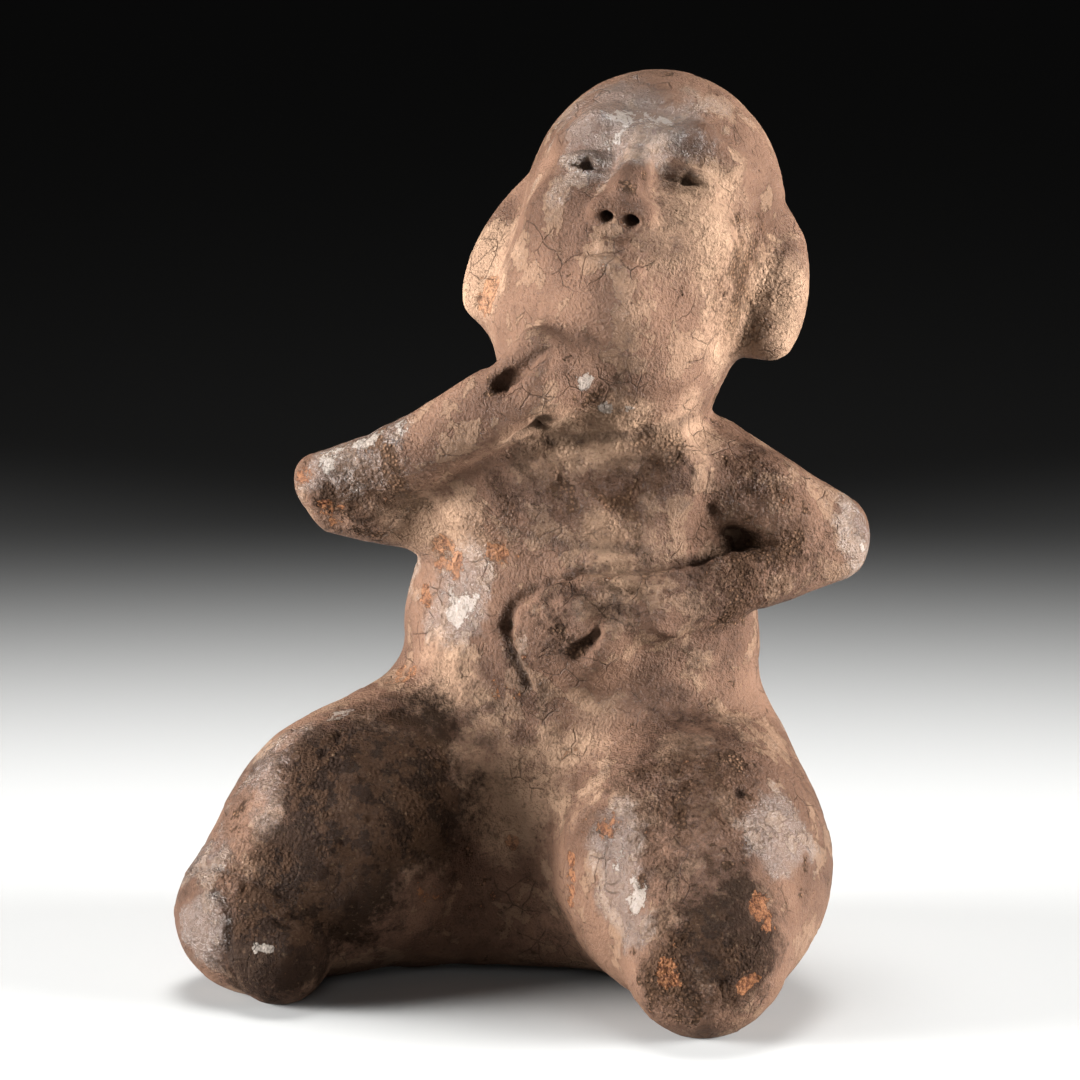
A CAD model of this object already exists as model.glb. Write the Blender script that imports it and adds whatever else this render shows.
"""Looks for the kneeling clay rattle figure: its fine relief, burnished slip, soot, earth and chips."""

import math
from functools import reduce
from itertools import product
from types import SimpleNamespace

import bmesh
import bpy
import numpy as np
from mathutils import Matrix, Vector


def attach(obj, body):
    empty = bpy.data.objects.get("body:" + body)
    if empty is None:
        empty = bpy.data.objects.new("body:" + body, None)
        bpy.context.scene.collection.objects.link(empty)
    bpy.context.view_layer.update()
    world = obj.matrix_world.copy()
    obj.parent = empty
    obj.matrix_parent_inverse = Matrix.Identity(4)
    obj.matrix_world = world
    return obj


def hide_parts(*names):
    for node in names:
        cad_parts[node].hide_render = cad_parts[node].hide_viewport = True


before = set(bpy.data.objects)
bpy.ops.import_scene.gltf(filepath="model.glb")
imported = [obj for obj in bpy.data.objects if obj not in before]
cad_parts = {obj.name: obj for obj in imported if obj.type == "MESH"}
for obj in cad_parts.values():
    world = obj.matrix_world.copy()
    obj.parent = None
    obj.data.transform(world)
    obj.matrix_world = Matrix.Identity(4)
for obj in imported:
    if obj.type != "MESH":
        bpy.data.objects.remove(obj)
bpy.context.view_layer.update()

# The form's sizes and places are in millimetres: the front faces -Y, +X is the figure's left,
# and the ground is z = 0. FORM_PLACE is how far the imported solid's centring has moved them.
MM = 0.001
FORM_PLACE = np.array((2.876, 4.943, 0))
HEAD_TILT = -34
HEAD_LEAN = 8
HEAD_SWING = 2
HEAD_CENTRE = (9.4, 6, 96.4)
EYE_APART = 12.8
THIGH_RADIUS = 15.6
KNEE_RADIUS = 9.8
FOREARM_RADIUS = 4.2
FINGER_RADIUS = 2.1
SIDES = (-1, 1)

HIP_LEFT = (16, 0, 24.5)
THIGH_LEFT = (20.7, -13.5, 16.8)
KNEE_LEFT = (26.6, -29.6, 10.4)
HIP_RIGHT = (-14, -4, 26)
THIGH_RIGHT = (-23.9, -15.2, 17.8)
KNEE_RIGHT = (-35, -25.9, 9.6)
SHOULDER_LEFT = (17.5, 6.5, 64.8)
ELBOW_LEFT = (33.8, 7, 57)
WRIST_LEFT = (15.1, -12.5, 49.5)
SHOULDER_RIGHT = (-11, -3, 60.4)
ELBOW_RIGHT = (-27.7, -9.9, 60.9)
FOREARM_RIGHT = (-17.6, -14.1, 68)
WRIST_RIGHT = (-5.4, -16, 75)

# How fine the skin is, in millimetres and triangles
SKIN_CELL = 0.45
SKIN_TRIANGLES = 190_000

# The camera, in degrees and millimetres, and how far over its aim the lights point
CAMERA_TURN = 15
CAMERA_RISE = 10
CAMERA_AWAY = 520
CAMERA_AIM_RIGHT = -3.25
CAMERA_AIM_UP = 54.8
CAMERA_AIM_BACK = 14
VIEW_WIDTH = 140.26
LIGHT_LIFT = 14
SENSOR = 36

# The studio: how far the floor reaches in metres, and the faint light of the dark room
FLOOR_REACH = 14
ROOM_LIGHT = 0.006


# Camera, floor and light
def camera_axes():
    turn = math.radians(CAMERA_TURN)
    rise = math.radians(CAMERA_RISE)
    right = Vector((math.cos(turn), math.sin(turn), 0))
    back = Vector((math.sin(turn) * math.cos(rise), -math.cos(turn) * math.cos(rise), math.sin(rise)))
    return right, back.cross(right), back


def camera_aim():
    right, up, back = camera_axes()
    aim = right * CAMERA_AIM_RIGHT + up * CAMERA_AIM_UP + back * CAMERA_AIM_BACK
    return (aim + Vector(FORM_PLACE)) * MM


def place_camera():
    right, up, back = camera_axes()
    eye = camera_aim() + back * CAMERA_AWAY * MM
    camera = bpy.data.objects.new("camera", bpy.data.cameras.new("camera"))
    camera.data.sensor_width = SENSOR
    camera.data.lens = SENSOR * CAMERA_AWAY / VIEW_WIDTH
    camera.data.clip_start = 0.01
    camera.data.clip_end = 60
    camera.matrix_world = Matrix.Translation(eye) @ Matrix((right, up, back)).transposed().to_4x4()
    bpy.context.scene.collection.objects.link(camera)
    bpy.context.scene.camera = camera


def place_softbox(name, turn, rise, away, wide, high, spread, power, ahead):
    """A soft light, turn degrees to the right of the camera and rise degrees up.

    Spread is the angle in degrees that the honeycomb on its front lets through, and ahead is
    how far in front of the figure it points, in millimetres.
    """
    right, up, back = camera_axes()
    level = Vector((back.x, back.y, 0)).normalized()
    turn = math.radians(turn)
    rise = math.radians(rise)
    flat = level * math.cos(turn) + right * math.sin(turn)
    toward = flat * math.cos(rise) + Vector((0, 0, 1)) * math.sin(rise)
    light = bpy.data.lights.new(name, "AREA")
    light.shape = "RECTANGLE"
    light.size = wide
    light.size_y = high
    light.spread = math.radians(spread)
    light.energy = power
    box = bpy.data.objects.new(name, light)
    box.location = camera_aim() + level * ahead * MM + Vector((0, 0, LIGHT_LIFT * MM)) + toward * away
    box.rotation_euler = toward.to_track_quat("Z", "Y").to_euler()
    bpy.context.scene.collection.objects.link(box)


def light_the_studio():
    side = {"rise": 6, "away": 0.5, "wide": 0.34, "high": 0.2, "spread": 48, "ahead": 16}
    place_softbox("left_softbox", turn=-84, power=1.85, **side)
    place_softbox("right_softbox", turn=82, power=1.75, **side)
    top = {"rise": 74, "away": 0.6, "wide": 0.5, "high": 0.5, "spread": 36, "ahead": 70}
    place_softbox("top_softbox", turn=180, power=1.0, **top)
    front = {"rise": 20, "away": 0.6, "wide": 0.3, "high": 0.3, "spread": 50, "ahead": 0}
    place_softbox("front_fill", turn=0, power=0.06, **front)
    world = bpy.data.worlds.new("dim_studio")
    world.use_nodes = True
    world.node_tree.nodes["Background"].inputs["Color"].default_value = linear("#ffffff")
    world.node_tree.nodes["Background"].inputs["Strength"].default_value = ROOM_LIGHT
    bpy.context.scene.world = world
    bpy.context.scene.view_settings.view_transform = "Standard"


def lay_floor():
    mesh = bpy.data.meshes.new("floor")
    corners = [(x * FLOOR_REACH, y * FLOOR_REACH, 0) for x, y in ((-1, -1), (1, -1), (1, 1), (-1, 1))]
    mesh.from_pydata(corners, [], [(0, 1, 2, 3)])
    paper = bpy.data.materials.new("matt white paper")
    paper.use_nodes = True
    skin = paper.node_tree.nodes["Principled BSDF"].inputs
    skin["Base Color"].default_value = linear("#a6a6a5")
    skin["Roughness"].default_value = 0.85
    mesh.materials.append(paper)
    floor = bpy.data.objects.new("floor", mesh)
    bpy.context.scene.collection.objects.link(floor)


# Forms: each is a function from points to their rough distance from its surface
def turned(x=0, y=0, z=0):
    x, y, z = (math.radians(angle) for angle in (x, y, z))
    about_x = np.array([[1, 0, 0], [0, math.cos(x), -math.sin(x)], [0, math.sin(x), math.cos(x)]])
    about_y = np.array([[math.cos(y), 0, math.sin(y)], [0, 1, 0], [-math.sin(y), 0, math.cos(y)]])
    about_z = np.array([[math.cos(z), -math.sin(z), 0], [math.sin(z), math.cos(z), 0], [0, 0, 1]])
    return about_z @ about_y @ about_x


def in_frame(shape, centre, turn):
    centre = np.array(centre, float)
    return lambda points: shape((points - centre) @ turn)


def length(vectors):
    return np.linalg.norm(vectors, axis=-1)


def egg(centre, radii, turn=turned()):
    radii = np.array(radii, float)

    def shape(points):
        near = length(points / radii)
        steep = length(points / radii**2)
        return near * (near - 1) / np.maximum(steep, 1e-9)

    return in_frame(shape, centre, turn)


def slab(centre, half, rounding, turn=turned()):
    core = np.array(half, float) - rounding

    def shape(points):
        away = np.abs(points) - core
        return length(np.maximum(away, 0)) + np.minimum(away.max(axis=-1), 0) - rounding

    return in_frame(shape, centre, turn)


def limb(start, end, start_radius, end_radius):
    """A rounded cone from one ball to another."""
    start = np.array(start, float)
    run = np.array(end, float) - start
    reach = length(run)
    flare = (end_radius - start_radius) / reach
    lean = flare / math.sqrt(1 - flare**2)

    def shape(points):
        local = points - start
        along = local @ run / reach
        aside = np.sqrt(np.maximum((local**2).sum(axis=-1) - along**2, 0))
        part = np.clip((along + aside * lean) / reach, 0, 1)
        return length(local - part[..., None] * run) - start_radius - (end_radius - start_radius) * part

    return shape


class Lump:
    """Clay that is added to or cut, with a joint as soft as its width."""

    def __init__(self, shape):
        self.distance = shape

    def add(self, shape, width):
        before = self.distance

        def distance(points):
            a = before(points)
            b = shape(points)
            smear = np.maximum(width - np.abs(a - b), 0) / width
            return np.minimum(a, b) - smear**2 * width / 4

        self.distance = distance

    def cut(self, shape, width):
        before = self.distance

        def distance(points):
            a = -before(points)
            b = shape(points)
            smear = np.maximum(width - np.abs(a - b), 0) / width
            return smear**2 * width / 4 - np.minimum(a, b)

        self.distance = distance


# The figure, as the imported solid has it, with finer lines in the face and hands
def model_face(head):
    eye_x = EYE_APART / 2
    for side in SIDES:
        root = (side * 2.4, -14.1, 5.0)
        arch = (side * 6.4, -13.4, 6.6)
        temple = (side * 10.8, -10.4, 5.2)
        head.add(limb(root, arch, 0.7, 0.8), 4)
        head.add(limb(arch, temple, 0.8, 0.6), 4)
        head.cut(egg((side * eye_x, -17.6, 0.8), (4.8, 2.3, 3.0)), 4)
        head.add(egg((side * 8.2, -10.6, -6.4), (4.6, 3.6, 4.8)), 4)
    head.add(limb((0, -14.4, 4.4), (0, -18.2, -5.8), 1.2, 2.1), 3)
    for side in SIDES:
        head.add(egg((side * 2.4, -16.8, -7.0), (1.9, 2.3, 1.7)), 1.4)
        head.add(egg((side * eye_x, -13.1, 0.2), (4.1, 2.0, 2.1)), 1)
        head.cut(egg((side * eye_x, -15.3, -0.3), (3.6, 1.4, 0.48)), 0.5)
        head.cut(limb((side * eye_x, -16.5, -0.1), (side * eye_x, -13.8, -0.1), 0.9, 0.7), 0.4)
        head.cut(limb((side * 1.7, -18.6, -9.6), (side * 1.7, -16.2, -6.8), 0.95, 0.75), 0.5)
        head.add(limb((side * 4.0, -14.2, -12.7), (side * 1.0, -15.9, -12.1), 0.5, 1.1), 1.4)
    head.add(egg((0, -15.2, -14.4), (3.6, 2.0, 1.4)), 1.4)
    for side in SIDES:
        head.cut(limb((side * 4.4, -15.4, -12.9), (0, -17.6, -13.1), 0.45, 0.6), 0.6)


def model_head():
    head = Lump(egg((-0.4, 4, 4.5), (16.9, 18.5, 18.4)))
    head.add(egg((0, -2, -8), (14, 14.5, 13.5)), 7)
    head.add(egg((0, -11.5, -17.6), (5.5, 4.5, 4.2)), 4)
    for side in SIDES:
        ear = Lump(egg((side * 17, 3.5, -5 + side * 0.6), (5.2, 3.2, 11.9), turned(0, -side * 7, 0)))
        ear.cut(slab((side * 18, 3.5, -22.6 + side * 0.6), (10, 10, 8), 1), 2)
        head.add(ear.distance, 2.5)
    model_face(head)
    return in_frame(head.distance, HEAD_CENTRE, turned(HEAD_TILT, HEAD_LEAN, HEAD_SWING))


def model_torso():
    torso = Lump(egg((0, 3, 20), (23.5, 20, 21)))
    torso.add(slab((-3, -4, 10.2), (20, 13, 9), 6, turned(0, 0, 10)), 5)
    torso.add(egg((2, 0.6, 43), (23.6, 16.5, 24)), 4)
    torso.add(egg((2.2, 0.8, 60), (17.6, 12.5, 14)), 8)
    torso.add(egg((-4.5, -4.5, 60.5), (10.5, 8.5, 10)), 4)
    torso.add(egg((-2, -7.6, 67), (10, 6.8, 6)), 4)
    torso.add(egg((13, -6.4, 66), (7.6, 4.6, 5.6)), 4)
    torso.add(limb((-9, -11.8, 60.8), (7, -11.4, 61.6), 1.6, 1), 4)
    for side in SIDES:
        torso.add(egg((side * 10.5, 14, 15), (12, 11, 14)), 6)
    torso.cut(limb((0, 29.5, 4), (0, 25.5, 28), 1.2, 1.0), 4)
    torso.cut(limb((1, 20.8, 34), (3, 16.8, 66), 0.6, 1.2), 6)
    return torso


def model_legs(body):
    left = Lump(limb(HIP_LEFT, THIGH_LEFT, THIGH_RADIUS - 0.6, THIGH_RADIUS + 0.8))
    left.add(limb(THIGH_LEFT, KNEE_LEFT, THIGH_RADIUS - 1.2, KNEE_RADIUS), 9)
    left.add(egg((25.2, -30.8, 8.6), (8.6, 8.8, 8.9)), 3)
    right = Lump(limb(HIP_RIGHT, THIGH_RIGHT, THIGH_RADIUS - 0.9, THIGH_RADIUS))
    right.add(limb(THIGH_RIGHT, KNEE_RIGHT, THIGH_RADIUS - 1.4, KNEE_RADIUS), 8)
    right.add(limb((-32.5, -26, 8.2), (-29.1, -32.2, 6.4), 8, 6.5), 2.8)
    body.add(left.distance, 5)
    body.add(right.distance, 4)


def model_right_arm(body):
    """The arm bent to the chin. Its last cut is the notch beside the finger."""
    arm = Lump(limb(SHOULDER_RIGHT, ELBOW_RIGHT, 7.2, 4))
    arm.add(limb((-23, -9.6, 62.5), (-7, -6.6, 68.5), 5, 7.4), 3)
    arm.add(limb((-29.6, -12, 64.5), FOREARM_RIGHT, FOREARM_RADIUS - 0.8, FOREARM_RADIUS), 3)
    arm.add(limb(FOREARM_RIGHT, WRIST_RIGHT, FOREARM_RADIUS, FOREARM_RADIUS + 0.7), 2)
    arm.add(egg((1, -15.4, 78.4), (7, 5, 5.2), turned(0, -40, 0)), 2.5)
    arm.add(limb((-3.8, -18.6, 74.6), (1.6, -18.9, 78), FINGER_RADIUS + 0.2, FINGER_RADIUS), 1.6)
    arm.add(limb((1.6, -18.9, 78), (2, -18.4, 82.4), FINGER_RADIUS, FINGER_RADIUS - 0.3), 1.6)
    arm.add(limb((-3.6, -18, 79.2), (0.6, -17.8, 84), FINGER_RADIUS - 0.4, FINGER_RADIUS - 0.2), 1.6)
    arm.cut(limb((-2.6, -20.3, 78.8), (0.1, -20.9, 81.2), 1.5, 0.7), 0.7)
    body.add(arm.distance, 3.5)


def model_left_arm(body):
    """The arm laid on the belly, with its round hand."""
    arm = Lump(limb(SHOULDER_LEFT, ELBOW_LEFT, 7, 5.2))
    arm.add(egg((25.5, 2.6, 60), (9.5, 6.8, 5.6), turned(0, 22, 0)), 3)
    arm.add(limb((16.6, 0.2, 65.4), (26, 1.4, 62.2), 5.4, 5), 4)
    arm.add(limb((18.6, -1.4, 65), (21.6, -1, 60.4), 4, 3.4), 3)
    arm.add(limb((34.2, 6, 55.2), WRIST_LEFT, FOREARM_RADIUS + 0.4, FOREARM_RADIUS), 1)
    arm.add(egg((24, 7, 55), (9, 4, 7)), 2)
    arm.cut(egg((24, -5.2, 57.6), (4.5, 3, 1.5), turned(0, 14, 0)), 1.5)
    hand = Lump(egg((5.6, -14.6, 46.6), (7, 4.2, 7.4)))
    hand.add(limb(WRIST_LEFT, (9, -14.6, 47.8), FOREARM_RADIUS - 1.2, FOREARM_RADIUS), 3)
    hand.add(limb((10.6, -17, 51.2), (14, -15.2, 48), 1, 1), 2)
    hand.cut(egg((9.4, -19, 50), (1.8, 1.4, 1.5)), 2)
    hand.cut(limb((6.4, -18.8, 44.2), (9, -18.2, 47.2), 0.95, 0.55), 1.2)
    hand.add(limb((9.2, -17, 44.6), (10.4, -16.8, 46.8), 0.9, 0.9), 1.2)
    arm.add(hand.distance, 1.5)
    body.add(arm.distance, 2)


def model_figure():
    """The whole form, cut flat at the ground.

    The solid's soft groove at the armpit is left out, since a crack and a pit are drawn there.
    """
    body = model_torso()
    model_legs(body)
    body.add(limb((4, 3, 64), (5.8, 3.4, 84), 9.8, 16), 4)
    body.add(limb((4.6, 0.4, 66), (7.6, -4.4, 83), 8.4, 12), 4)
    body.add(model_head(), 4)
    model_right_arm(body)
    model_left_arm(body)
    body.cut(limb((0.2, -18.5, 71.6), (0.6, -12, 74.5), 0.9, 0.6), 1.2)
    return lambda points: np.maximum(body.distance(points), -points[..., 2])


# Unevenness: smooth random hills that repeat the same way on every run
def bumps(points, size, seed):
    """Values from -1 to 1 whose hills are about size apart.

    The large odd numbers scatter the corners' values so that no pattern shows.
    """
    cell = np.floor(points / size).astype(np.int64)
    part = points / size - cell
    part = part**3 * (part * (part * 6 - 15) + 10)
    total = np.zeros(len(points))
    for corner in product((0, 1), repeat=3):
        x, y, z = (cell + corner).T
        mix = x * 73856093 ^ y * 19349663 ^ z * 83492791 ^ seed * 2654435761
        mix = (mix ^ mix >> 13) * 1274126177 & 0x7FFFFFFF
        mix = (mix ^ mix >> 15) * 2246822519 & 0x7FFFFFFF
        weight = np.prod(np.where(corner, part, 1 - part), axis=1)
        total += weight * (mix / 0x3FFFFFFF - 1)
    return total


def rough(points, size, seed, layers=3):
    """The same, with finer hills on the hills."""
    total = sum(bumps(points, size / 2**n, seed + n) / 2**n for n in range(layers))
    return total / (2 - 0.5 ** (layers - 1))


def step(values, low, high):
    part = np.clip((values - low) / (high - low), 0, 1)
    return part * part * (3 - 2 * part)


# Where the marks are: a place on the clay and its reach, in millimetres, and its strength
SOOT = (
    ((-17.6, -27.8, 27.4), 15, 1.15),
    ((-22.9, -29.9, 26.3), 10, 1.2),
    ((-14.5, -18.2, 34.6), 9, 0.7),
    ((-22.2, -32.4, 16.5), 13, 1.1),
    ((-9, -23.5, 19.1), 9, 0.35),
    ((-30, -30, 20), 10, 0.4),
    ((-28.2, -38.6, 7.3), 12, 1.0),
    ((-25.9, -33.3, 16.5), 10, 1.0),
    ((-36.2, -25.3, 25.2), 9, 0.35),
    ((-39.5, -30.2, 17.4), 8, 0.35),
    ((-6, -22, 9), 10, 0.2),
    ((2, -20, 6), 10, 0.4),
    ((21.5, -25.8, 29.4), 14, 0.5),
    ((20.6, -16, 34.9), 10, 0.45),
    ((25, -34, 20), 10, 0.45),
    ((29, -37.1, 14.6), 10, 0.9),
    ((26, -38, 9.5), 8, 0.7),
    ((-1, -13.9, 65.7), 8, 0.45),
    ((14, -10.5, 65.5), 7, 0.5),
    ((26.8, -2, 65.6), 9, 0.4),
    ((24.2, -9.5, 53.2), 9, 0.5),
    ((31.9, -2.5, 54.9), 8, 0.4),
    ((11, -17.9, 51.3), 5, 0.5),
    ((12.7, -6, 108.6), 8, 0.25),
    ((-25, -16, 63), 9, 0.55),
    ((-5, -15.5, 38.5), 10, 0.35),
    ((9, -13.5, 80), 9, 0.3),
    ((5, -18, 47.5), 8, 0.5),
    ((13, -28.5, 34), 7, 0.35),
    ((20, -10, 44), 9, 0.25),
    ((18, 20, 80), 12, 0.5),
    ((-8, 24, 24), 14, 0.6),
    ((16, 17, 46), 12, 0.5),
    ((-30, -4, 22), 12, 0.4),
    ((34, -8, 20), 12, 0.3),
    ((-8, 20, 96), 9, 0.5),
)
EARTH = (
    ((20, -8, 98), 14, 0.7),
    ((-10.8, 0.2, 90.8), 9, 1.0),
    ((28.2, 4.2, 88.9), 9, 0.9),
    ((16, -8.5, 71), 6, 0.9),
    ((-17.5, -11, 60), 9, 0.9),
    ((-4, -17.5, 23), 9, 1.0),
    ((10.6, -12.6, 71.6), 8, 0.8),
    ((17.8, -4.6, 71.5), 8, 0.8),
    ((-13, -14.1, 37.8), 8, 0.8),
    ((-7, -17, 31), 7, 0.6),
    ((20.4, -9.7, 42.7), 9, 0.3),
    ((7.2, -14.8, 32.5), 8, 0.6),
    ((-3, -18, 25), 10, 0.9),
    ((1, -14.5, 71.5), 8, 0.8),
    ((12, -15, 57), 8, 0.7),
    ((-13.5, -10, 62), 8, 0.7),
    ((22, -8, 98), 11, 0.9),
    ((24, -2, 84), 9, 0.8),
    ((-9.7, -1.6, 89.7), 9, 0.8),
    ((-32, -16, 26), 9, 0.5),
    ((9, -22, 24), 6, 0.5),
    ((0, 20, 60), 14, 0.6),
    ((20, 22, 22), 14, 0.6),
    ((-22, 14, 30), 13, 0.6),
)
BARE = (
    ((33.6, -32.6, 16.9), 2.6, 1.2),
    ((34.4, -33.0, 15.0), 1.5, 1.1),
    ((23.1, -39.8, 9.6), 2.1, 1.1),
    ((32.9, -37.3, 8.3), 1.8, 1.1),
    ((-2.4, -17.4, 19.1), 1.5, 0.9),
    ((-16.5, -9.0, 48.5), 2.6, 1.0),
    ((-18.8, -10.4, 38.7), 3.4, 0.8),
    ((-12.6, -11.5, 54.0), 4.2, 0.85),
    ((-4.9, -14.1, 55.9), 2.8, 0.85),
    ((-30.7, -15.1, 65.3), 2.0, 1.0),
    ((-27.6, -14.2, 60.1), 3.0, 0.8),
    ((38.2, 3, 57.5), 2.0, 0.8),
    ((-9.5, -2.1, 88.5), 3.5, 1.0),
    ((-4.7, -14.9, 38.4), 3.0, 0.55),
    ((-11, -25.5, 13.6), 3.0, 0.6),
    ((13.4, -28.9, 25), 3.2, 0.75),
    ((7.4, -25, 19.3), 1.3, 1.3),
    ((7.6, -25.4, 17.4), 1.3, 1.3),
    ((7.5, -25.2, 15.4), 1.2, 1.3),
    ((7.2, -24.6, 13.6), 1.1, 1.2),
    ((33.6, -32.5, 17), 3.4, 0.9),
    ((23.4, -39.9, 8.9), 1.8, 1.1),
    ((33.2, -37, 8.8), 1.6, 1.1),
    ((-8, 22, 40), 4.0, 0.9),
    ((26, 12, 30), 3.6, 0.8),
    ((12, 24, 88), 3.0, 0.8),
)
PALE = (
    ((-10.6, -12.7, 49.5), 3.4, 0.9),
    ((-11.2, -12.6, 47.6), 2.2, 1.2),
    ((15.1, -30.6, 21.2), 2.2, 0.8),
    ((18.0, -33.6, 17.4), 2.6, 1.1),
    ((17.0, -32.8, 19.2), 1.8, 0.9),
    ((7.2, -17.5, 79.3), 1.6, 1.1),
    ((8.9, -13.9, 75.3), 1.1, 1.1),
    ((12, -13.2, 75.3), 1.1, 0.9),
    ((39, 4, 56), 1.6, 1.0),
    ((-27, -15, 67), 3, 0.85),
    ((-22, -15.5, 70.5), 3.2, 0.85),
    ((-17, -17, 73), 2.6, 0.8),
    ((-25.1, -18.6, 34.7), 2.2, 0.9),
    ((-30.2, -38.2, 8.8), 1.0, 1.3),
    ((-29.2, -38.3, 8.8), 1.0, 1.3),
    ((-28.2, -38.4, 8.9), 1.0, 1.3),
    ((12, -1.8, 110.7), 4, 0.8),
    ((8, -3, 110), 4, 0.75),
)
GLOSS = (
    ((-11.4, -12.3, 49.4), 9, 1.0),
    ((13.5, -29.5, 23), 6, 1.0),
    ((15.5, -32, 18), 6, 1.0),
    ((18, -35.5, 13), 5, 0.9),
    ((34, -23.5, 24), 8, 1.0),
    ((4, -18.4, 47), 8, 0.4),
    ((8, -2, 111), 16, 0.9),
    ((-21.5, -16.2, 70.4), 8, 0.9),
    ((-27, -15, 66.5), 7, 0.9),
    ((-31, -24, 27), 11, 0.8),
    ((-38, -35, 9), 7, 0.9),
    ((38, 5, 58), 6, 0.8),
    ((2, -16, 74), 6, 0.4),
    ((-20, 4, 50), 12, 0.7),
    ((6, 18, 100), 16, 0.8),
    ((-40, -29, 19), 8, 0.6),
    ((26, 14, 30), 14, 0.7),
)
CRUST = (
    ((-30, -33, 12), 11, 0.9),
    ((-17.6, -27.8, 27.4), 14, 0.9),
    ((-26, -27, 29), 10, 0.6),
    ((-20, -18, 66), 12, 0.6),
    ((27, -3, 64), 10, 0.6),
    ((27, -7, 54.5), 10, 0.7),
    ((23, -27, 28), 13, 0.6),
    ((26, -38, 11), 9, 0.8),
    ((8, -12, 66), 13, 0.7),
    ((-4, -14, 60), 8, 0.5),
    ((24, 0, 91), 10, 0.8),
    ((8, -13.5, 57), 9, 0.5),
    ((4, -17, 46), 8, 0.3),
)


# Lines of fingers and tools, and cracks: their places, width and height, in millimetres
STROKES = (
    (((0.9, -13.3, 70.7), (7.8, -12.4, 71.1), (13.8, -10.2, 72.1), (17.6, -5.1, 73.2)), 0.8, -0.5),
    (((-9, -12.8, 61.4), (1.1, -14.3, 62.6), (8.2, -12.5, 63.2)), 1.2, 0.35),
    (((-4, -13.8, 59.4), (1.1, -14.3, 58.1), (8.2, -13.5, 57.3), (14.2, -11.4, 57)), 0.8, -0.35),
    (((17, -9.3, 69.2), (18.8, -9.2, 67.1), (19.8, -8.1, 64.9), (20.2, -7, 63)), 0.3, -0.35),
    (((20.8, -6.1, 61.7), (20.9, -5.9, 61.3)), 0.6, -0.7),
    (((28.6, -23.9, 29.2), (28.6, -23.9, 28.8)), 0.6, -0.7),
    (((-1.7, -17.3, 71.6), (-0.5, -16.2, 72.4), (1.7, -18, 74)), 1, -1.1),
    (((-0.6, -20.4, 80.4), (1, -20.3, 82), (2.4, -20, 83.3)), 0.7, -0.5),
    (((-3.1, -19.6, 78.5), (-1.5, -19.8, 79.5)), 0.9, -0.9),
    (((-3.2, -19.4, 77.5), (-0.7, -20.5, 78.6), (2, -20.9, 80.1), (3.1, -20.1, 82.2)), 0.9, 0.6),
    (((-36.7, -34.3, 14.3), (-34.9, -35.1, 13.1), (-34, -36.1, 10.8), (-34.1, -36.7, 7.7)), 0.7, -0.6),
    (((-42, -30, 15.6), (-37.6, -32, 17), (-31, -33.9, 15.7), (-27, -33.9, 14)), 0.45, -0.35),
    (((-42.9, -29, 13.6), (-38, -32.6, 15.4), (-33.6, -33.9, 14.6)), 0.4, -0.3),
    (((-41, -31, 10.5), (-38, -33.6, 11.6), (-36, -34.6, 11)), 0.4, -0.25),
    (((-40, -24, 23), (-36, -27.4, 21.4), (-31, -30.4, 20)), 0.45, -0.25),
    (((-28.2, -36, 11.7), (-27, -36, 11.3), (-26, -35.7, 11)), 0.35, -0.35),
    (((-33.8, -36.4, 4.6), (-33.6, -35.4, 2.4)), 0.7, -0.6),
    (((22.8, -1.9, 99), (23.5, -2, 95.8)), 0.3, -0.5),
    (((11.5, -16.3, 52.4), (14.4, -17, 50.1), (16.1, -16.4, 47.9), (18.1, -13.8, 46.7)), 0.6, 0.4),
    (((-0.4, -15.6, 39.1), (-1.7, -15.7, 41.7), (-2.8, -15.6, 44.3), (-3.8, -15.2, 46.9)), 0.6, -0.7),
    (((-3.8, -15.2, 46.9), (-3.2, -15, 49.2), (-1.8, -15.1, 50.6), (1.8, -15.8, 52.9)), 0.7, -0.9),
    (((1.8, -15.8, 52.9), (6.9, -14.8, 54.5), (13, -12.5, 54.9), (17.9, -10.4, 55)), 0.7, -0.9),
    (((17.9, -10.4, 55), (20.1, -8.6, 55.6), (22.3, -5.4, 56.4), (23.8, -2.9, 56.8)), 1, -1),
    (((0.6, -16, 40), (-0.4, -16.2, 42.4), (-1.9, -15.9, 45.3), (-1.2, -15.9, 49)), 1, 0.5),
    (((-1.2, -15.9, 49), (1.8, -16.7, 51.6), (7.2, -15.8, 53)), 1, 0.5),
    (((7.2, -15.8, 53), (13, -13.2, 53.3), (18, -11, 53.4)), 1.2, 0.7),
    (((18, -11, 53.4), (20.6, -10, 54), (23, -7.7, 54.8), (25.5, -5, 55.4), (29, -3.6, 56.6)), 1.4, 0.8),
    (((1.5, -17, 43.5), (1.5, -17.5, 47.5), (5, -17.5, 50)), 2.2, 0.5),
    (((-16.6, -8.8, 52), (-15.8, -9.8, 49), (-16.4, -9.4, 46)), 0.3, -0.3),
    (((-1.2, -17.1, 22.4), (-1.6, -18, 16.4)), 0.4, -0.25),
)


def marks(points, places, seed, waver=0.35):
    """How strongly each point is marked, with wandering edges."""
    total = np.zeros(len(points))
    for number, (centre, reach, strength) in enumerate(places):
        away = length(points - np.array(centre, float)) / reach
        near = away < 1.6
        away[near] += waver * rough(points[near], reach * 0.8, seed + number)
        total = np.maximum(total, strength * step(1.25 - away, 0, 1))
    return total


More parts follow.
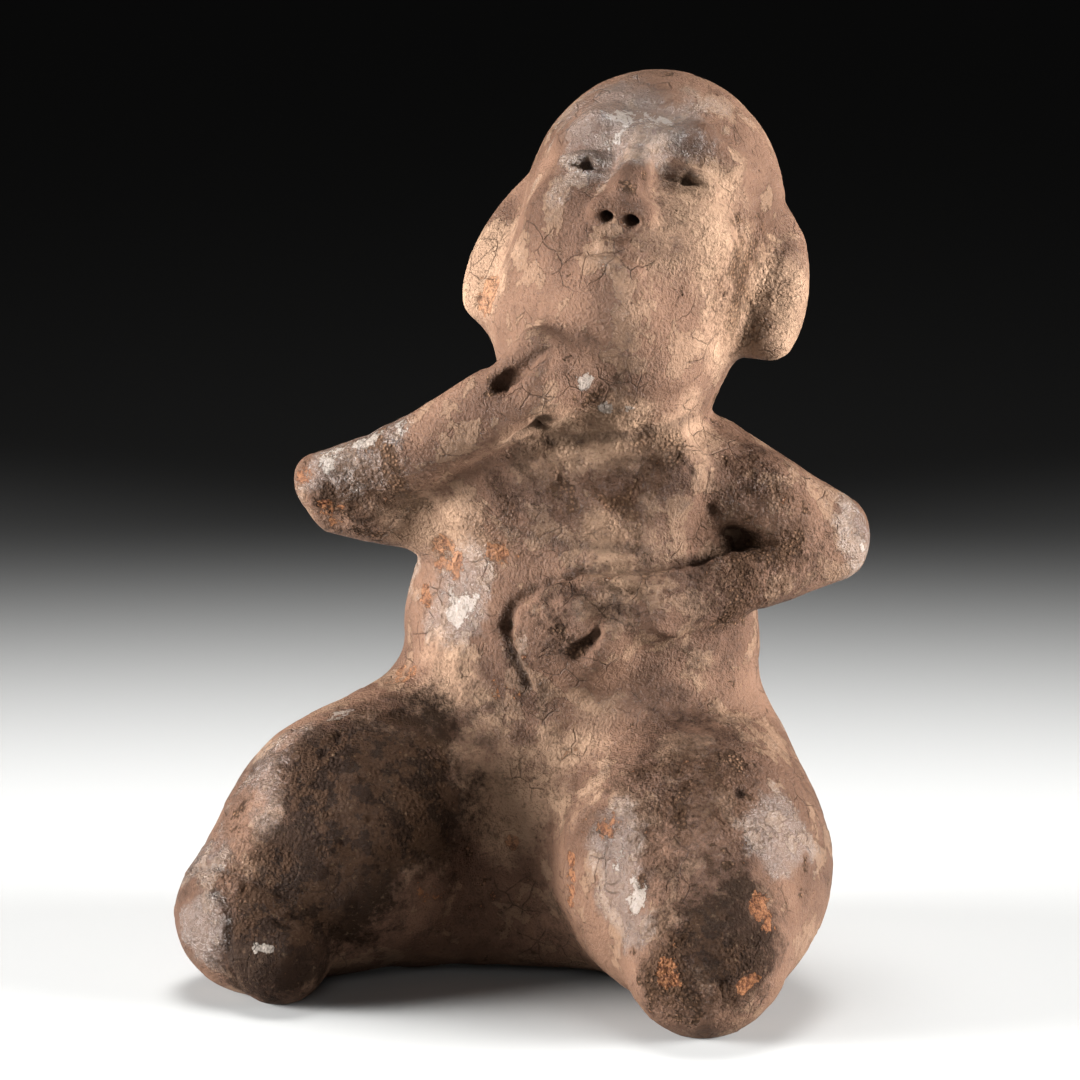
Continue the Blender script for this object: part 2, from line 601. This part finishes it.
def stroke_height(points):
    """How far the drawn lines stand out, with an uneven hand."""
    total = np.zeros(len(points))
    for number, (line, width, height) in enumerate(STROKES):
        away = np.full(len(points), np.inf)
        for start, end in zip(line, line[1:]):
            away = np.minimum(away, limb(start, end, 1e-3, 1e-3)(points))
        near = away < 4 * width
        uneven = 1 + 0.4 * bumps(points[near], 2.5, 300 + number)
        shifted = away[near] + 0.3 * width * bumps(points[near], 1.2, 340 + number)
        total[near] += height * uneven * np.exp(-((shifted / width) ** 2))
    return total


# Skin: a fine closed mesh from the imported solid, settled on the form and given its relief
def plain_mesh(node, name):
    """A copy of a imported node's mesh with its loose triangles joined."""
    mesh = node.data.copy()
    mesh.name = name
    mesh.materials.clear()
    work = bmesh.new()
    work.from_mesh(mesh)
    bmesh.ops.remove_doubles(work, verts=work.verts, dist=0.01 * MM)
    work.to_mesh(mesh)
    work.free()
    return mesh


def after_modifier(mesh, kind, **settings):
    """The mesh that one modifier makes of this one."""
    holder = bpy.data.objects.new("holder", mesh)
    bpy.context.scene.collection.objects.link(holder)
    modifier = holder.modifiers.new(kind.lower(), kind)
    for name, value in settings.items():
        setattr(modifier, name, value)
    evaluated = holder.evaluated_get(bpy.context.evaluated_depsgraph_get())
    result = bpy.data.meshes.new_from_object(evaluated)
    bpy.data.objects.remove(holder)
    return result


def mesh_points(mesh):
    flat = np.empty(len(mesh.vertices) * 3, np.float32)
    mesh.vertices.foreach_get("co", flat)
    return flat.reshape(-1, 3).astype(float) / MM - FORM_PLACE


def mesh_normals(mesh):
    flat = np.empty(len(mesh.vertices) * 3, np.float32)
    mesh.vertex_normals.foreach_get("vector", flat)
    return flat.reshape(-1, 3).astype(float)


def move_points(mesh, points):
    mesh.vertices.foreach_set("co", ((points + FORM_PLACE) * MM).astype(np.float32).ravel())
    mesh.update()


def settle(mesh, form):
    """Moves the mesh's points along their normals until they lie on the form."""
    for _ in range(3):
        points = mesh_points(mesh)
        move_points(mesh, points - mesh_normals(mesh) * np.clip(form(points), -0.6, 0.6)[:, None])


def relief(points):
    """How far the clay stands out from the plain form at each point, in millimetres.

    It fades out at the ground, so that the figure still stands on its flat underside.
    """
    crust = np.clip(marks(points, CRUST, 200) + 0.6 * marks(points, SOOT, 40), 0, 1)
    bare = step(marks(points, BARE, 60) + 0.35 * rough(points, 1.6, 61), 0.45, 0.7)
    plates = step(rough(points, 5, 21, 4), 0.02, 0.12)
    height = 0.22 * rough(points, 13, 1) + 0.1 * rough(points, 4.2, 5)
    height += (0.04 + 0.22 * crust) * rough(points, 2.2, 9, 2)
    height += 0.1 * plates
    height -= 0.22 * bare
    pits = step(bumps(points, 1.5, 77), 0.5, 0.8) * step(crust, 0.5, 1)
    height -= 0.3 * pits
    height += stroke_height(points)
    return height * step(points[:, 2], -0.2, 0.8)


def record_marks(mesh, form):
    """Puts the marks on the mesh as values that the clay's material reads."""
    points = mesh_points(mesh)
    normals = mesh_normals(mesh)
    values = {
        "soot": marks(points, SOOT, 40),
        "earth": marks(points, EARTH, 80),
        "bare": marks(points, BARE, 60, 0.5),
        "pale": marks(points, PALE, 100, 0.5),
        "gloss": marks(points, GLOSS, 120),
        "crust": marks(points, CRUST, 200),
        "hollow": np.clip(1 - form(points + normals * 2.4) / 2.4, 0, 1),
        "groove": np.clip(-2.4 * stroke_height(points), 0, 1),
    }
    for name, amounts in values.items():
        layer = mesh.attributes.new(name, "FLOAT", "POINT")
        layer.data.foreach_set("value", amounts.astype(np.float32))


def model_skin():
    form = model_figure()
    mesh = plain_mesh(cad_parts["figure"], "figure_skin")
    mesh = after_modifier(mesh, "REMESH", mode="VOXEL", voxel_size=SKIN_CELL * MM, use_smooth_shade=True)
    settle(mesh, form)
    points = mesh_points(mesh)
    move_points(mesh, points + mesh_normals(mesh) * relief(points)[:, None])
    triangles = sum(len(face.vertices) - 2 for face in mesh.polygons)
    mesh = after_modifier(mesh, "DECIMATE", ratio=min(1, SKIN_TRIANGLES / triangles))
    mesh.name = "figure_skin"
    record_marks(mesh, form)
    mesh.shade_smooth()
    return mesh


# Colour and material
def linear(text):
    """The linear colour of an sRGB hex value."""
    channels = [int(text[at:at + 2], 16) / 255 for at in (1, 3, 5)]
    return [c / 12.92 if c <= 0.04045 else ((c + 0.055) / 1.055) ** 2.4 for c in channels] + [1.0]


def add_node(tree, kind, inputs=None, **settings):
    """Adds a node: settings are its own, and inputs hold values or the sockets to link."""
    node = tree.nodes.new(kind)
    for name, value in settings.items():
        setattr(node, name, value)
    for name, value in (inputs or {}).items():
        if isinstance(value, bpy.types.NodeSocket):
            tree.links.new(value, node.inputs[name])
        else:
            node.inputs[name].default_value = value
    return node


class Patterns:
    """Short calls for a material's pattern nodes, each giving back its output socket."""

    def __init__(self, tree):
        self.tree = tree
        self.place = add_node(tree, "ShaderNodeTexCoord").outputs["Object"]

    def noise(self, size, detail=3, roughness=0.55):
        """Soft noise with hills of the given size in mm."""
        inputs = {"Vector": self.place, "Scale": 1 / (size * MM), "Detail": detail, "Roughness": roughness}
        return add_node(self.tree, "ShaderNodeTexNoise", inputs).outputs["Fac"]

    def cells(self, size, feature):
        """Distance inside wandering cells of the given size in mm, as in dried mud or grit."""
        bend = {"Vector": self.place, "Scale": 1.3 / (size * MM), "Detail": 3}
        drift = add_node(self.tree, "ShaderNodeTexNoise", bend).outputs["Color"]
        moved = {0: drift, 1: (0.4 * size * MM,) * 3, 2: self.place}
        wandering = add_node(self.tree, "ShaderNodeVectorMath", moved, operation="MULTIPLY_ADD").outputs[0]
        inputs = {"Vector": wandering, "Scale": 1 / (size * MM)}
        return add_node(self.tree, "ShaderNodeTexVoronoi", inputs, feature=feature).outputs["Distance"]

    def value(self, name):
        """One of the values that record_marks puts on the mesh."""
        return add_node(self.tree, "ShaderNodeAttribute", attribute_name=name).outputs["Fac"]

    def math_of(self, operation, *values):
        inputs = dict(enumerate(values))
        return add_node(self.tree, "ShaderNodeMath", inputs, operation=operation).outputs[0]

    def times(self, *values):
        return reduce(lambda before, value: self.math_of("MULTIPLY", before, value), values)

    def most(self, *values):
        return reduce(lambda before, value: self.math_of("MAXIMUM", before, value), values)

    def spread(self, source, low, high, to_low=0.0, to_high=1.0):
        """The source's run from low to high, eased and turned into another run."""
        inputs = {"Value": source, "From Min": low, "From Max": high, "To Min": to_low, "To Max": to_high}
        return add_node(self.tree, "ShaderNodeMapRange", inputs, interpolation_type="SMOOTHSTEP").outputs[0]

    def broken(self, name, noises, low, high):
        """A mark's amount once noises of the given strengths have broken its edge."""
        total = self.value(name)
        for pattern, strength in noises:
            total = self.math_of("MULTIPLY_ADD", self.math_of("SUBTRACT", pattern, 0.5), strength, total)
        return self.spread(total, low, high)

    def blend(self, amount, below, above):
        """A mix of two colours, which are sockets 6 and 7 of a Mix node and come out of 2."""
        colours = {0: amount, 6: below, 7: above}
        return add_node(self.tree, "ShaderNodeMix", colours, data_type="RGBA").outputs[2]


def clay_surface(make):
    """What covers the clay, by name: noises, scales of slip, cracks and the marks."""
    # Pattern sizes in millimetres. Real clay grain is about 0.05 mm, drawn here at 0.3 mm to show.
    flake = make.noise(6, 7, 0.62)
    mottle = make.noise(3.2, 7, 0.7)
    crumb = make.noise(0.6, 4, 0.7)
    crust = make.value("crust")

    # The slip lies on the crumbly body in scales with crisp edges, fewest where crust has eaten it.
    scale = make.spread(make.math_of("MULTIPLY_ADD", crust, -0.17, flake), 0.325, 0.35)
    crack = make.spread(make.cells(3.4, "DISTANCE_TO_EDGE"), 0, 0.04, 1, 0)
    return SimpleNamespace(
        cloud=make.noise(15, 3),
        mottle=mottle,
        crumb=crumb,
        grain=make.noise(0.3, 2, 0.6),
        speck=make.noise(0.55, 2, 0.5),
        grit=make.spread(make.cells(0.55, "F1"), 0, 0.75, 1, 0),
        crust=crust,
        scale=scale,
        upper=make.spread(flake, 0.54, 0.555),
        crust_flake=make.times(make.spread(mottle, 0.47, 0.49), make.spread(crust, 0.2, 0.6)),
        crack=make.times(crack, make.spread(make.noise(8, 2), 0.52, 0.62), scale),
        plate=make.broken("gloss", ((flake, 2.4), (mottle, 1.0)), 0.25, 0.85),
        soot=make.broken("soot", ((mottle, 1.8), (crumb, 1.0)), 0.05, 0.85),
        earth=make.broken("earth", ((flake, 2.0), (crumb, 0.9)), 0.2, 1.0),
        bare=make.broken("bare", ((mottle, 3.2), (crumb, 1.1)), 0.58, 0.72),
        pale=make.broken("pale", ((mottle, 2.8), (crumb, 1.4)), 0.68, 0.76),
    )


def clay_colour(make, seen):
    body = make.blend(make.spread(seen.grit, 0.2, 0.85), linear("#3a291d"), linear("#664c3a"))
    slip = make.blend(make.spread(seen.cloud, 0.35, 0.65), linear("#4a3529"), linear("#634a3b"))
    slip = make.blend(make.times(seen.upper, 0.35), slip, linear("#7d6551"))
    slip = make.blend(make.times(seen.plate, 0.3), slip, linear("#564a41"))
    orange = make.blend(make.spread(seen.crumb, 0.4, 0.6), linear("#4f2b1a"), linear("#8a5c3d"))
    hollow = make.spread(make.value("hollow"), 0.3, 1, 0, 0.35)
    groove = make.spread(make.value("groove"), 0, 1, 0, 0.5)
    dirt = make.most(hollow, groove, make.times(seen.crack, 0.45))

    colour = make.blend(seen.scale, body, slip)
    layers = (
        (make.times(seen.earth, 0.6), linear("#977b65")),
        (make.times(seen.soot, 0.95), linear("#1b1009")),
        (make.times(seen.crust_flake, 0.17), linear("#5f4430")),
        (make.times(seen.bare, 0.54), orange),
        (make.times(seen.pale, 0.5), linear("#958c83")),
        (dirt, linear("#21160f")),
        (make.spread(seen.crumb, 0.3, 0.46, 0.4, 0), linear("#21160f")),
        (make.spread(seen.speck, 0.62, 0.75, 0, 0.14), linear("#8d765e")),
    )
    for amount, layer in layers:
        colour = make.blend(amount, colour, layer)
    return colour


def clay_burnish(make, seen):
    """How much of the pebble's polish is left: little on soot, earth or bare clay."""
    rubbed = make.most(seen.soot, seen.earth, seen.bare)
    polish = make.spread(seen.plate, 0, 1, 0.1, 0.85)
    return make.times(polish, make.spread(rubbed, 0.2, 0.9, 1, 0.1), make.spread(seen.scale, 0, 1, 0.2, 1))


def clay_height(make, seen):
    """Low relief in millimetres that is too fine for the mesh."""
    loose = make.most(make.spread(seen.scale, 0, 1, 1, 0.15), make.spread(seen.crust, 0.2, 0.8, 0.15, 0.8))
    height = make.times(seen.grit, make.spread(loose, 0, 1, 0.03, 0.32))
    layers = (
        (seen.crumb, 0.35),
        (seen.grain, 0.12),
        (seen.mottle, 0.55),
        (seen.scale, 0.25),
        (seen.upper, 0.2),
        (seen.crust_flake, 0.3),
        (seen.crack, -0.15),
        (seen.bare, -0.2),
        (seen.pale, 0.1),
    )
    for layer, depth in layers:
        height = make.math_of("MULTIPLY_ADD", layer, depth, height)
    return height


def fired_clay():
    """Low-fired brown clay, hand-built, slipped and burnished with a pebble before firing.

    The slip gives it a soft uneven gloss. Fire clouds and buried minerals have left dark mottled
    crust, buff earth lies in the hollows, and rubbed or chipped spots show the orange body. The
    matt clay throws back little, so the gloss is a coat that only the burnished slip has.
    """
    clay = bpy.data.materials.new("burnished fired clay")
    clay.use_nodes = True
    tree = clay.node_tree
    make = Patterns(tree)
    seen = clay_surface(make)
    relief_inputs = {"Height": clay_height(make, seen), "Distance": MM, "Strength": 1.0}
    normal = add_node(tree, "ShaderNodeBump", relief_inputs).outputs["Normal"]
    skin = tree.nodes["Principled BSDF"]
    tree.links.new(clay_colour(make, seen), skin.inputs["Base Color"])
    tree.links.new(clay_burnish(make, seen), skin.inputs["Coat Weight"])
    tree.links.new(normal, skin.inputs["Normal"])
    tree.links.new(normal, skin.inputs["Coat Normal"])
    skin.inputs["Roughness"].default_value = 0.75
    skin.inputs["Specular IOR Level"].default_value = 0.05
    skin.inputs["Coat Roughness"].default_value = 0.24
    skin.inputs["Coat IOR"].default_value = 1.5
    return clay


def dress_figure():
    mesh = model_skin()
    mesh.materials.clear()
    mesh.materials.append(fired_clay())
    skin = bpy.data.objects.new("figure_skin", mesh)
    bpy.context.scene.collection.objects.link(skin)
    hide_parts("figure")
    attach(skin, "root")


place_camera()
lay_floor()
light_the_studio()
dress_figure()
